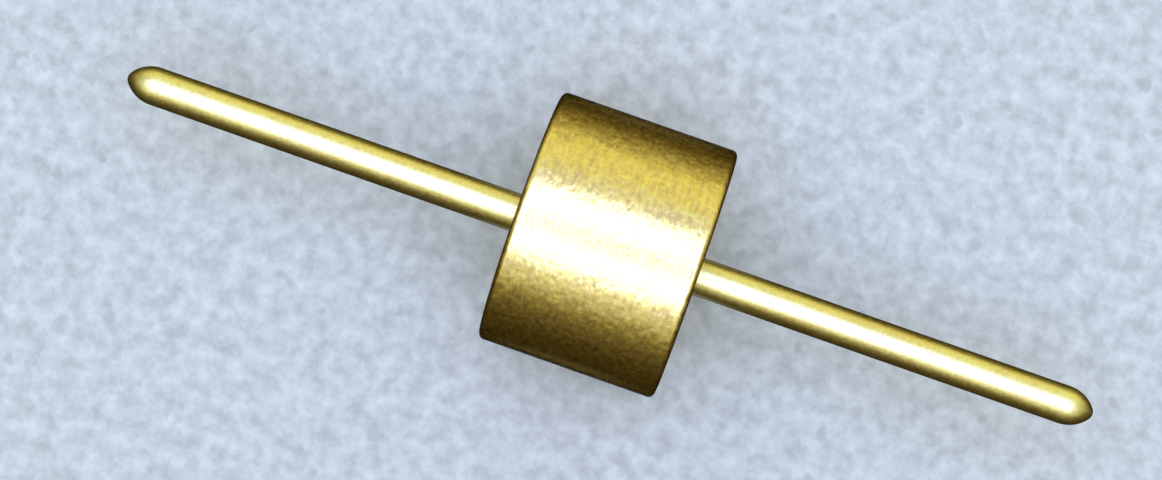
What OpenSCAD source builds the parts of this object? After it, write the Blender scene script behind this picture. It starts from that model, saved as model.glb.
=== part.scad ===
// Glass feedthrough insulator: a straight round pin held by a fired glass bead
// in the bore of a short cylindrical metal ferrule. Sizes are in millimetres.
// The pin lies along X, and the origin is the middle of the ferrule.

/* [Ferrule] */
// Outside diameter of the ferrule
ferrule_od = 2.54; // [2.3:0.01:4]
// Diameter of the bore that holds the glass
ferrule_bore = 2.05; // [1.5:0.01:2.05]
// Length of the ferrule along the pin
ferrule_len = 1.8; // [1:0.05:4]
// Radius round the outer edge of each end face
rim_radius = 0.06; // [0.02:0.01:0.08]
// Width of the 45 degree break at each mouth of the bore
mouth_break = 0.03; // [0.01:0.005:0.03]

/* [Pin] */
// Diameter of the pin
pin_d = 0.38; // [0.36:0.01:0.5]
// Length of the pin from end to end
pin_len = 9.95; // [5:0.05:20]
// Radius of the long curve by which each end of the pin draws in
taper_radius = 0.34; // [0.28:0.01:0.5]
// Radius of the round nose that closes it
nose_radius = 0.09; // [0.05:0.01:0.14]

/* [Glass] */
// Depth of the glass below the end face, midway between the pin and the bore
glass_recess = 0.12; // [0.1:0.01:0.15]
// Height that the glass climbs the pin and the wall of the bore
glass_climb = 0.08; // [0.04:0.01:0.08]
// Radius of the hollow curve where it climbs
meniscus_radius = 0.2; // [0.15:0.01:0.2]

/* [Hidden] */
$fn = 96;

ferrule_r = ferrule_od / 2;
bore_r = ferrule_bore / 2;
face_x = ferrule_len / 2;
pin_r = pin_d / 2;
end_x = pin_len / 2;
taper_len = nose_radius + sqrt(pow(taper_radius - nose_radius, 2) - pow(taper_radius - pin_r, 2));
gold = [0.86, 0.7, 0.28];
sealing_glass = [0.62, 0.7, 0.62, 0.75];

// Revolves a half section about the pin's axis. In the section, x is the distance
// from that axis and y is the place along it.
module turned() {
  rotate([0, 90, 0]) rotate_extrude() children();
}

// Draws a form at the +X end of a half section, and its mirror image at the other end.
module both_ends() {
  children();
  mirror([0, 1]) children();
}

// A quarter of a disc, from its centre out towards +x and +y.
module quarter_disc(r) {
  intersection() {
    circle(r);
    square(r);
  }
}

// The ferrule's wall, with a quarter round where its outside meets each end face.
module ferrule_section() {
  flat_r = ferrule_r - rim_radius;
  flat_x = face_x - rim_radius;
  difference() {
    union() {
      translate([bore_r, -face_x]) square([flat_r - bore_r, ferrule_len]);
      translate([flat_r, -flat_x]) square([rim_radius, 2 * flat_x]);
      both_ends() translate([flat_r, flat_x]) quarter_disc(rim_radius);
    }
    both_ends() translate([bore_r, face_x])
      rotate(45) square(sqrt(2) * mouth_break, center = true);
  }
}

// The space above the glass at the +X end. Its flat floor turns up into a hollow
// curve at the pin and at the bore, where the molten glass wetted the metal.
module glass_hollow() {
  run = sqrt(glass_climb * (2 * meniscus_radius - glass_climb));
  floor_from = pin_r + run;
  floor_to = bore_r - run;
  translate([0, face_x - glass_recess]) {
    translate([floor_from, 0]) square([floor_to - floor_from, 2 * meniscus_radius]);
    for (r = [floor_from, floor_to]) translate([r, meniscus_radius]) circle(meniscus_radius);
  }
}

module glass_section() {
  difference() {
    translate([pin_r, -face_x]) square([bore_r - pin_r, ferrule_len]);
    both_ends() glass_hollow();
  }
}

// The pin's +X end. A long curve leaves the side without a step and runs into a
// nose centred on the axis.
module tip_section() {
  curve = [pin_r - taper_radius, end_x - taper_len];
  nose = [0, end_x - nose_radius];
  meet = curve + (nose - curve) * taper_radius / (taper_radius - nose_radius);
  intersection() {
    translate(curve) circle(taper_radius);
    translate([0, curve.y]) square([pin_r, meet.y - curve.y]);
  }
  intersection() {
    translate(nose) circle(nose_radius);
    translate([0, meet.y]) square([pin_r, end_x - meet.y]);
  }
}

module pin_section() {
  translate([0, taper_len - end_x]) square([pin_r, pin_len - 2 * taper_len]);
  both_ends() tip_section();
}

module ferrule() {
  color(gold) turned() ferrule_section();
}

module glass_bead() {
  color(sealing_glass) turned() glass_section();
}

module pin() {
  color(gold) turned() pin_section();
}

ferrule();
glass_bead();
pin();
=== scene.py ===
"""Glass feedthrough insulator: looks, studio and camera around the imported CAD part.

Sizes and places are in millimetres, and MM turns them into Blender's metres. The pin
lies along X, and the origin is the middle of the ferrule. Colours are linear.
"""

import math

import bpy
from mathutils import Matrix, Vector


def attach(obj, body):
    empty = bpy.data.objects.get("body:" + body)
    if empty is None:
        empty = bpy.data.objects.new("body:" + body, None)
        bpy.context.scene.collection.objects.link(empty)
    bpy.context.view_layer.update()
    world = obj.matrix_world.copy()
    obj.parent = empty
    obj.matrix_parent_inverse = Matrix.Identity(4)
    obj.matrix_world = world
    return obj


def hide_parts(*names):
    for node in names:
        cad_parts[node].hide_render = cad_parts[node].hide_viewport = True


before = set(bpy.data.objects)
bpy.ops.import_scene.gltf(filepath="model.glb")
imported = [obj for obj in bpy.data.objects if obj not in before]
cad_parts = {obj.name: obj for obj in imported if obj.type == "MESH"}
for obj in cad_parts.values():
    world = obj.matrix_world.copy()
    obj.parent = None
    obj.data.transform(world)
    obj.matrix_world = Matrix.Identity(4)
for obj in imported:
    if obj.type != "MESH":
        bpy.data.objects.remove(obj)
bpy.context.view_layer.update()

MM = 0.001
MICROMETRE = 1e-6

# ferrule
FERRULE_R = 1.27
BORE_R = 1.025
FACE_X = 0.9
RIM_RADIUS = 0.06
MOUTH_BREAK = 0.03

# pin
PIN_R = 0.19
END_X = 4.975
TAPER_RADIUS = 0.34
NOSE_RADIUS = 0.09

# glass, which overlaps both metals by a hair so that no gap shows
GLASS_RECESS = 0.12
GLASS_CLIMB = 0.08
MENISCUS_RADIUS = 0.2
GLASS_OVERLAP = 0.002

# fineness of the meshes: steps round a piece and along each arc, and the angle in
# degrees from which an edge is sharp
TURNS = 360
RIM_STEPS = 14
MENISCUS_STEPS = 12
TAPER_STEPS = 16
NOSE_STEPS = 8
SHARP_ANGLE = 30

# ferrule's plating: a tone that follows the grain, then marks laid over it
PLATE_TONES = [(0.40, (0.78, 0.595, 0.366)), (0.50, (0.92, 0.710, 0.380)),
               (0.60, (1.0, 0.825, 0.394))]
PLATE_PATCH = (0.93, 0.67, 0.355)
PLATE_HOOP = (0.60, 0.46, 0.37)
PLATE_DASH = (1.0, 0.90, 0.43)
PLATE_SWELL = (1.0, 0.92, 0.45)
HOOP_STRETCH = (0.33, 1, 1)
DASH_STRETCH = (1, 0.28, 1)
SWELL_STRETCH = (0.56, 1, 1)

# pin's plating
LEAD_TONES = [(0.38, (0.89, 0.74, 0.44)), (0.50, (0.97, 0.83, 0.48)),
              (0.62, (1.0, 0.90, 0.52))]
DRAWN_STRETCH = (0.12, 1, 1)

# sealing glass
GLASS_TONES = [(0.3, (0.34, 0.42, 0.36)), (0.7, (0.50, 0.58, 0.51))]
GLASS_IOR = 1.49
GLASS_CLEARNESS = 0.45
BUBBLES_PER_MM = 14

# camera, with its roll in degrees
CAMERA_AT = (0.28, 0.0, 25.4)
CAMERA_AIM = (-0.266, -0.043, 0.0)
CAMERA_ROLL = 19.31
CAMERA_LENS = 80.8
CAMERA_SENSOR = 36.0
CAMERA_NEAR = 0.5
CAMERA_FAR = 50000.0

# floor, whose grain has darks, lights and pits as shares of its colour, and the
# backdrop that it passes into from one distance to another
FLOOR_Z = -FERRULE_R
FLOOR_HALF = 2000.0
FLOOR_COLOUR = (0.548, 0.568, 0.695)
FLOOR_DARK = 0.82
FLOOR_LIGHT = 1.17
FLOOR_PIT = 0.77
BACKDROP_COLOUR = (0.577, 0.658, 0.768)
BACKDROP_FROM = 9.0
BACKDROP_FULL = 40.0

# mat seen only in reflections and through the glass: its colour by place along Y is painted
# reflection, dark shade towards -Y and pale warm light towards +Y, and the half axes in X and Y
# of the oval where the floor's colour takes over, softly between two shares of the oval
MAT_HALF = 300.0
MAT_LIFT = 0.02
MAT_PAINTED_REFLECTION = [(-60, (0.100, 0.070, 0.012)), (-18, (0.066, 0.044, 0.007)),
              (-7, (0.046, 0.030, 0.003)), (-3, (0.044, 0.029, 0.003)),
              (3, (0.066, 0.045, 0.006)), (5.5, (0.165, 0.118, 0.024)),
              (10.5, (0.31, 0.245, 0.070)), (20, (0.52, 0.455, 0.17))]
MAT_OVAL = (1.6, 2.4)
MAT_OVAL_OUTER = 1.25
MAT_OVAL_INNER = 0.75

# round soft light overhead
SOFTBOX_HEIGHT = 40.0
SOFTBOX_RADIUS = 27.0
SOFTBOX_RADIANCE = 2.3
SOFTBOX_COLOUR = (0.62, 0.70, 0.96)

# front of the photographer's lens
LENS_HEIGHT = 26.4
LENS_RADIUS = 3.3
LENS_OPACITY = 0.66
LENS_STEPS = 48

# room: its light by the cosine from a pole, which is tilted by degrees from straight up
# towards +Y and has the brightest ring round it, a cool glow by the cosine from straight
# up, and a dimmer level towards the X axis, by the cosine from it
ROOM_TILT = 19.5
ROOM_LIGHT = [(-0.40, (0.072, 0.054, 0.014)), (-0.17, (0.118, 0.092, 0.020)),
              (-0.02, (0.198, 0.173, 0.042)), (0.12, (0.318, 0.288, 0.072)),
              (0.24, (0.545, 0.515, 0.150)), (0.28, (0.600, 0.560, 0.165)),
              (0.34, (0.690, 0.640, 0.172)), (0.41, (0.770, 0.742, 0.210)),
              (0.60, (0.880, 0.885, 0.325)), (0.72, (0.825, 0.825, 0.290)),
              (0.82, (0.780, 0.775, 0.255)), (0.89, (0.750, 0.750, 0.300)),
              (1.00, (0.660, 0.680, 0.340))]
COOL_GLOW = [(0.42, (0.0, 0.0, 0.0)), (0.56, (0.0, 0.03, 0.11)),
             (0.68, (0.0, 0.06, 0.25)), (0.77, (0.0, 0.08, 0.38))]
ROOM_END_FROM = 0.45
ROOM_END_FULL = 0.90
ROOM_END_LEVEL = 0.55


# ---------------------------------------------------------------- meshes

def arc(centre_x, centre_r, radius, start, end, steps):
    """Points (x, r) on an arc, with angles in degrees from the +x direction."""
    points = []
    for i in range(steps + 1):
        a = math.radians(start + (end - start) * i / steps)
        points.append((centre_x + radius * math.cos(a), centre_r + radius * math.sin(a)))
    return points


def mirrored(points):
    """Points (x, r) of one end, carried over to the other end in reverse order."""
    return [(-x, r) for x, r in reversed(points)]


def ferrule_section():
    rim = arc(FACE_X - RIM_RADIUS, FERRULE_R - RIM_RADIUS, RIM_RADIUS, 90, 0, RIM_STEPS)
    mouth = [(FACE_X, BORE_R + MOUTH_BREAK), (FACE_X - MOUTH_BREAK, BORE_R)]
    right = rim + mouth
    return right + mirrored(right)


def glass_section():
    """At each end a flat floor, which turns up in a hollow curve at the bore and pin."""
    floor_x = FACE_X - GLASS_RECESS
    edge_x = floor_x + GLASS_CLIMB
    run = math.sqrt(GLASS_CLIMB * (2 * MENISCUS_RADIUS - GLASS_CLIMB))
    sweep = math.degrees(math.asin(run / MENISCUS_RADIUS))
    centre_x = floor_x + MENISCUS_RADIUS
    at_bore = arc(centre_x, BORE_R - run, MENISCUS_RADIUS, 180 - sweep, 180, MENISCUS_STEPS)
    at_pin = arc(centre_x, PIN_R + run, MENISCUS_RADIUS, 180, 180 + sweep, MENISCUS_STEPS)
    outer = [(edge_x, BORE_R + GLASS_OVERLAP)]
    inner = [(edge_x, PIN_R - GLASS_OVERLAP)]
    right = outer + at_bore + at_pin + inner
    return right + mirrored(right)


def pin_section():
    """A straight side, a long curve that draws in, and a nose centred on the axis."""
    reach = TAPER_RADIUS - NOSE_RADIUS
    drop = TAPER_RADIUS - PIN_R
    run = math.sqrt(reach ** 2 - drop ** 2)
    turn = math.degrees(math.atan2(drop, run))
    curve = arc(END_X - NOSE_RADIUS - run, -drop, TAPER_RADIUS, 90, turn, TAPER_STEPS)
    nose = arc(END_X - NOSE_RADIUS, 0.0, NOSE_RADIUS, turn, 0, NOSE_STEPS)
    right = curve + nose[1:]
    return mirrored(right) + [(0.0, PIN_R)] + right


def ring_verts(section):
    """The mesh's points, and for each point of the section the numbers of its ring."""
    verts = []
    rings = []
    for x, r in section:
        on_axis = r < 1e-9
        if on_axis:
            rings.append([len(verts)] * TURNS)
            verts.append((x * MM, 0.0, 0.0))
            continue
        ring = []
        for i in range(TURNS):
            a = 2 * math.pi * i / TURNS
            ring.append(len(verts))
            verts.append((x * MM, r * MM * math.sin(a), -r * MM * math.cos(a)))
        rings.append(ring)
    return verts, rings


def ring_faces(section, rings, closed):
    """Faces between neighbouring rings, and each corner's place (around, along)."""
    count = len(section)
    lengths = [0.0]
    for p, q in zip(section, section[1:] + section[:1]):
        lengths.append(lengths[-1] + math.dist(p, q))
    faces = []
    places = []
    for k in range(count if closed else count - 1):
        after = (k + 1) % count
        a, b = rings[k], rings[after]
        step = 2 * math.pi * max(section[k][1], section[after][1]) / TURNS
        for i in range(TURNS):
            j = (i + 1) % TURNS
            corners = [(a[i], step * i, lengths[k]), (a[j], step * (i + 1), lengths[k]),
                       (b[j], step * (i + 1), lengths[k + 1]), (b[i], step * i, lengths[k + 1])]
            kept = []
            for corner in corners:
                if all(corner[0] != other[0] for other in kept):
                    kept.append(corner)
            faces.append([number for number, _, _ in kept])
            places.extend((around, along) for _, around, along in kept)
    return faces, places


def lathe(name, section, closed):
    """Turns (x, r) points about X. A closed section joins its last point to its first."""
    verts, rings = ring_verts(section)
    faces, places = ring_faces(section, rings, closed)
    mesh = bpy.data.meshes.new(name)
    mesh.from_pydata(verts, [], faces)
    layer = mesh.uv_layers.new(name="UVMap")
    for loop, (around, along) in zip(layer.data, places):
        loop.uv = (around * MM, along * MM)
    mesh.validate()
    for polygon in mesh.polygons:
        polygon.use_smooth = True
    mesh.set_sharp_from_angle(angle=math.radians(SHARP_ANGLE))
    obj = bpy.data.objects.new(name, mesh)
    bpy.context.scene.collection.objects.link(obj)
    return obj


# ----------------------------------------------------------------- nodes

class Nodes:
    """Short calls for building the node tree of one material or world."""

    def __init__(self, owner):
        owner.use_nodes = True
        self.owner = owner
        self.tree = owner.node_tree

    def add(self, kind, **settings):
        node = self.tree.nodes.new(kind)
        for key, value in settings.items():
            setattr(node, key, value)
        return node

    def put(self, value, socket):
        """Links an output, or sets a constant. A colour is given as three numbers."""
        if isinstance(value, bpy.types.NodeSocket):
            self.tree.links.new(value, socket)
        elif socket.type == "RGBA":
            socket.default_value = (*value, 1)
        else:
            socket.default_value = value

    def fill(self, node, **values):
        for key, value in values.items():
            self.put(value, node.inputs[key.replace("_", " ")])

    def coords(self, kind, stretch=(1, 1, 1)):
        """Coordinates in millimetres. A mark grows along an axis with a stretch below 1."""
        mapping = self.add("ShaderNodeMapping")
        source = self.add("ShaderNodeTexCoord").outputs[kind]
        self.fill(mapping, Vector=source, Scale=[s / MM for s in stretch])
        return mapping.outputs["Vector"]

    def noise(self, vector, per_mm, detail=1.0, rough=0.5):
        node = self.add("ShaderNodeTexNoise")
        self.fill(node, Vector=vector, Scale=per_mm, Detail=detail, Roughness=rough)
        return node.outputs["Fac"]

    def math(self, operation, first, second=0.0):
        node = self.add("ShaderNodeMath", operation=operation)
        self.put(first, node.inputs[0])
        self.put(second, node.inputs[1])
        return node.outputs[0]

    def weighted(self, *pairs):
        """The sum of fields, given as (field, weight) pairs."""
        total = None
        for field, weight in pairs:
            part = self.math("MULTIPLY", field, weight)
            total = part if total is None else self.math("ADD", total, part)
        return total

    def vector_math(self, operation, first, second=(0.0, 0.0, 0.0)):
        node = self.add("ShaderNodeVectorMath", operation=operation)
        self.put(first, node.inputs[0])
        self.put(second, node.inputs[1])
        return node.outputs

    def remap(self, value, low, high, to_low, to_high, curve="LINEAR"):
        node = self.add("ShaderNodeMapRange", interpolation_type=curve)
        self.fill(node, Value=value, From_Min=low, From_Max=high, To_Min=to_low, To_Max=to_high)
        return node.outputs["Result"]

    def ramp(self, value, stops):
        node = self.add("ShaderNodeValToRGB")
        self.put(value, node.inputs["Fac"])
        elements = node.color_ramp.elements
        while len(elements) < len(stops):
            elements.new(0.5)
        for element, (place, colour) in zip(elements, stops):
            element.position = place
            element.color = (*colour, 1)
        return node.outputs["Color"]

    def graded(self, value, stops):
        """A colour ramp over stops whose values may lie outside 0 to 1."""
        low = stops[0][0]
        high = stops[-1][0]
        places = [((level - low) / (high - low), colour) for level, colour in stops]
        return self.ramp(self.remap(value, low, high, 0.0, 1.0), places)

    def blend(self, share, first, second):
        node = self.add("ShaderNodeMix", data_type="RGBA")
        first_socket, second_socket = [s for s in node.inputs if s.type == "RGBA"]
        self.put(share, node.inputs["Factor"])
        self.put(first, first_socket)
        self.put(second, second_socket)
        return next(s for s in node.outputs if s.type == "RGBA")

    def bump(self, field, depth, normal=None):
        """Bumps of a depth in micrometres, on top of an earlier normal if there is one."""
        node = self.add("ShaderNodeBump")
        self.fill(node, Height=field, Distance=depth * MICROMETRE)
        if normal is not None:
            self.put(normal, node.inputs["Normal"])
        return node.outputs["Normal"]

    def mix_shaders(self, share, first, second):
        node = self.add("ShaderNodeMixShader")
        for value, socket in zip((share, first, second), node.inputs):
            self.put(value, socket)
        return node.outputs[0]


def new_material(name):
    """The node tree of a new material, with its shader at hand."""
    n = Nodes(bpy.data.materials.new(name))
    n.shader = n.tree.nodes["Principled BSDF"]
    return n


# ------------------------------------------------------------- materials

def ferrule_material():
    """Satin gold plate with grain, marks round the ferrule and a few along it."""
    n = new_material("ferrule_gold")
    solid = n.coords("Object")
    grain = n.noise(solid, 18)
    fine = n.noise(solid, 30)
    patch = n.noise(solid, 8)
    hoops = n.noise(n.coords("UV", HOOP_STRETCH), 20)
    dashes = n.noise(n.coords("UV", DASH_STRETCH), 21, detail=0)
    swell = n.noise(n.coords("UV", SWELL_STRETCH), 18)
    tone = n.weighted((grain, 0.36), (fine, 0.14), (hoops, 0.50))
    colour = n.ramp(tone, PLATE_TONES)
    colour = n.blend(n.remap(patch, 0.40, 0.65, 0.0, 0.22), colour, PLATE_PATCH)
    colour = n.blend(n.remap(hoops, 0.37, 0.27, 0.0, 0.36), colour, PLATE_HOOP)
    colour = n.blend(n.remap(dashes, 0.67, 0.76, 0.0, 0.9), colour, PLATE_DASH)
    colour = n.blend(n.remap(swell, 0.62, 0.74, 0.0, 0.9), colour, PLATE_SWELL)
    normal = n.bump(patch, 3.2)
    normal = n.bump(swell, 4.2, normal)
    normal = n.bump(dashes, 0.8, normal)
    normal = n.bump(hoops, 3.4, normal)
    normal = n.bump(grain, 1.0, normal)
    n.fill(n.shader, Metallic=1.0, Base_Color=colour, Normal=normal)
    n.fill(n.shader, Roughness=n.remap(grain, 0.35, 0.65, 0.21, 0.28))
    n.fill(n.shader, Specular_Tint=(0.0, 0.0, 0.0))
    return n.owner


def pin_material():
    """Plainer and more matt gold plate over a drawn wire, with faint lines along it."""
    n = new_material("pin_gold")
    solid = n.coords("Object")
    grain = n.noise(solid, 28)
    lines = n.noise(n.coords("Object", DRAWN_STRETCH), 24)
    broad = n.noise(solid, 2.5, detail=2)
    tone = n.weighted((grain, 0.6), (broad, 0.4))
    normal = n.bump(grain, 1.2)
    normal = n.bump(lines, 0.4, normal)
    n.fill(n.shader, Metallic=1.0, Base_Color=n.ramp(tone, LEAD_TONES), Normal=normal)
    n.fill(n.shader, Roughness=n.remap(grain, 0.3, 0.7, 0.28, 0.35))
    n.fill(n.shader, Specular_Tint=(0.0, 0.0, 0.0))
    return n.owner


def glass_material():
    """Clouded grey-green sealing glass, glossy, with the pits of fine bubbles."""
    n = new_material("sealing_glass")
    solid = n.coords("Object")
    cloud = n.noise(solid, 4, detail=3, rough=0.6)
    bubbles = n.add("ShaderNodeTexVoronoi")
    n.fill(bubbles, Vector=solid, Scale=BUBBLES_PER_MM)
    pits = n.remap(bubbles.outputs["Distance"], 0.0, 0.16, 0.0, 1.0)
    n.fill(n.shader, Base_Color=n.ramp(cloud, GLASS_TONES), Normal=n.bump(pits, 4))
    n.fill(n.shader, Roughness=n.remap(cloud, 0.3, 0.7, 0.05, 0.12))
    n.fill(n.shader, IOR=GLASS_IOR, Transmission_Weight=GLASS_CLEARNESS)
    return n.owner


def shaded(colour, share):
    return tuple(share * c for c in colour)


def floor_material():
    """Fine pale stone. Far off it passes into the backdrop's tone, for the camera alone."""
    n = new_material("pale_ground")
    solid = n.coords("Object")
    grain = n.noise(solid, 5.5, detail=4, rough=0.6)
    pits = n.noise(solid, 4)
    tones = [(0.32, shaded(FLOOR_COLOUR, FLOOR_DARK)), (0.68, shaded(FLOOR_COLOUR, FLOOR_LIGHT))]
    pitted = n.remap(pits, 0.33, 0.25, 0.0, 0.7)
    colour = n.blend(pitted, n.ramp(grain, tones), shaded(FLOOR_COLOUR, FLOOR_PIT))
    n.fill(n.shader, Base_Color=colour, Roughness=0.9, Specular_IOR_Level=0.0)
    reach = n.vector_math("LENGTH", solid)["Value"]
    far = n.remap(reach, BACKDROP_FROM, BACKDROP_FULL, 0.0, 1.0, "SMOOTHSTEP")
    camera_ray = n.add("ShaderNodeLightPath").outputs["Is Camera Ray"]
    glow = n.add("ShaderNodeEmission")
    n.fill(glow, Color=BACKDROP_COLOUR)
    share = n.math("MULTIPLY", far, camera_ray)
    surface = n.mix_shaders(share, n.shader.outputs[0], glow.outputs[0])
    n.put(surface, n.tree.nodes["Material Output"].inputs["Surface"])
    return n.owner


def painted_reflection_mat_material():
    """Painted reflection: dark shade towards -Y rising to pale warm light towards +Y, that
    passes into the floor's tone close to the ferrule.
    """
    n = new_material("painted_reflection_mat")
    place = n.add("ShaderNodeSeparateXYZ")
    n.put(n.coords("Object"), place.inputs[0])
    # painted reflection of shade and light, by place along Y
    shade = n.graded(place.outputs["Y"], MAT_PAINTED_REFLECTION)
    oval = (1 / MAT_OVAL[0], 1 / MAT_OVAL[1], 0.0)
    reach = n.vector_math("LENGTH", n.coords("Object", oval))["Value"]
    opened = n.remap(reach, MAT_OVAL_OUTER, MAT_OVAL_INNER, 0.0, 1.0, "SMOOTHSTEP")
    n.fill(n.shader, Base_Color=n.blend(opened, shade, FLOOR_COLOUR))
    n.fill(n.shader, Roughness=0.95, Specular_IOR_Level=0.0)
    return n.owner


def lens_material():
    n = new_material("lens_black")
    n.fill(n.shader, Base_Color=(0.01, 0.01, 0.01), Alpha=LENS_OPACITY)
    n.fill(n.shader, Roughness=0.6, Specular_IOR_Level=0.0)
    return n.owner


# ---------------------------------------------------------------- pieces

def add_pieces():
    ferrule = lathe("gold_ferrule", ferrule_section(), closed=True)
    ferrule.data.materials.append(ferrule_material())
    glass = lathe("fired_glass", glass_section(), closed=True)
    glass.data.materials.append(glass_material())
    pin = lathe("gold_pin", pin_section(), closed=False)
    pin.data.materials.append(pin_material())
    for piece, node, slot in ((ferrule, "ferrule", "ferrule_gold"),
                              (glass, "glass_bead", "sealing_glass"),
                              (pin, "pin", "pin_gold")):
        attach(piece, "root")
        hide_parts(node)


# ---------------------------------------------------------------- studio

def camera_axes():
    """The camera's right, up and ahead directions."""
    ahead = (Vector(CAMERA_AIM) - Vector(CAMERA_AT)).normalized()
    roll = math.radians(CAMERA_ROLL)
    upright = Vector((-math.sin(roll), math.cos(roll), 0.0))
    right = ahead.cross(upright).normalized()
    return right, right.cross(ahead), ahead


def add_camera():
    right, up, ahead = camera_axes()
    data = bpy.data.cameras.new("camera")
    data.lens = CAMERA_LENS
    data.sensor_width = CAMERA_SENSOR
    data.sensor_fit = "HORIZONTAL"
    data.clip_start = CAMERA_NEAR * MM
    data.clip_end = CAMERA_FAR * MM
    camera = bpy.data.objects.new("camera", data)
    turn = Matrix((right, up, -ahead)).transposed().to_4x4()
    camera.matrix_world = Matrix.Translation(Vector(CAMERA_AT) * MM) @ turn
    bpy.context.scene.collection.objects.link(camera)
    bpy.context.scene.camera = camera


def flat_mesh(name, verts, faces, material):
    mesh = bpy.data.meshes.new(name)
    mesh.from_pydata(verts, [], faces)
    mesh.materials.append(material)
    obj = bpy.data.objects.new(name, mesh)
    bpy.context.scene.collection.objects.link(obj)
    return obj


def flat_square(name, half, height, material):
    s = half * MM
    z = height * MM
    verts = [(-s, -s, z), (s, -s, z), (s, s, z), (-s, s, z)]
    return flat_mesh(name, verts, [(0, 1, 2, 3)], material)


def hide_from_view(obj):
    """Hides an object from all but reflections and what is seen through the glass."""
    obj.visible_camera = False
    obj.visible_shadow = False
    obj.visible_diffuse = False


def add_painted_reflection_mat():
    """A mat on the floor round the part, seen only in reflections and through the glass, whose
    colour paints the dark shade and pale light that the metal reflects.
    """
    hide_from_view(flat_square("painted_reflection_mat", MAT_HALF, FLOOR_Z + MAT_LIFT, painted_reflection_mat_material()))


def add_lens():
    """The dark front of the photographer's lens, which lets some light through."""
    x, y, z = CAMERA_AT[0] * MM, CAMERA_AT[1] * MM, LENS_HEIGHT * MM
    radius = LENS_RADIUS * MM
    verts = [(x, y, z)]
    for i in range(LENS_STEPS):
        a = 2 * math.pi * i / LENS_STEPS
        verts.append((x + radius * math.cos(a), y + radius * math.sin(a), z))
    faces = [(0, 1 + i, 1 + (i + 1) % LENS_STEPS) for i in range(LENS_STEPS)]
    hide_from_view(flat_mesh("lens_front", verts, faces, lens_material()))


def add_softbox():
    data = bpy.data.lights.new("softbox", "AREA")
    data.shape = "DISK"
    data.size = 2 * SOFTBOX_RADIUS * MM
    area = math.pi * (SOFTBOX_RADIUS * MM) ** 2
    data.energy = SOFTBOX_RADIANCE * math.pi * area
    data.color = SOFTBOX_COLOUR
    box = bpy.data.objects.new("softbox", data)
    box.location = (0, 0, SOFTBOX_HEIGHT * MM)
    box.visible_camera = False
    bpy.context.scene.collection.objects.link(box)


def room_colour(n, direction, upwards):
    """Brightest in a ring round a pole tilted towards +Y, with a cool glow overhead."""
    tilt = math.radians(ROOM_TILT)
    pole = (0.0, math.sin(tilt), math.cos(tilt))
    from_pole = n.vector_math("DOT_PRODUCT", direction, pole)["Value"]
    light = n.graded(from_pole, ROOM_LIGHT)
    return n.vector_math("ADD", light, n.graded(upwards, COOL_GLOW))["Vector"]


def add_world():
    """A plain room, dimmer towards its ends. Camera and transmission rays see the backdrop."""
    world = bpy.data.worlds.new("studio")
    bpy.context.scene.world = world
    n = Nodes(world)
    n.tree.nodes.clear()
    direction = n.add("ShaderNodeTexCoord").outputs["Generated"]
    split = n.add("ShaderNodeSeparateXYZ")
    n.put(direction, split.inputs[0])
    endwards = n.math("ABSOLUTE", split.outputs["X"])
    level = n.remap(endwards, ROOM_END_FROM, ROOM_END_FULL, 1.0, ROOM_END_LEVEL, "SMOOTHSTEP")
    room = n.add("ShaderNodeBackground")
    n.fill(room, Color=room_colour(n, direction, split.outputs["Z"]), Strength=level)
    backdrop = n.add("ShaderNodeBackground")
    n.fill(backdrop, Color=BACKDROP_COLOUR)
    path = n.add("ShaderNodeLightPath").outputs
    plain = n.math("MAXIMUM", path["Is Camera Ray"], path["Is Transmission Ray"])
    surface = n.mix_shaders(plain, room.outputs[0], backdrop.outputs[0])
    n.put(surface, n.add("ShaderNodeOutputWorld").inputs["Surface"])


def add_studio():
    flat_square("floor", FLOOR_HALF, FLOOR_Z, floor_material())
    add_painted_reflection_mat()
    add_softbox()
    add_lens()
    add_world()
    add_camera()
    bpy.context.scene.view_settings.view_transform = "Standard"


add_pieces()
add_studio()
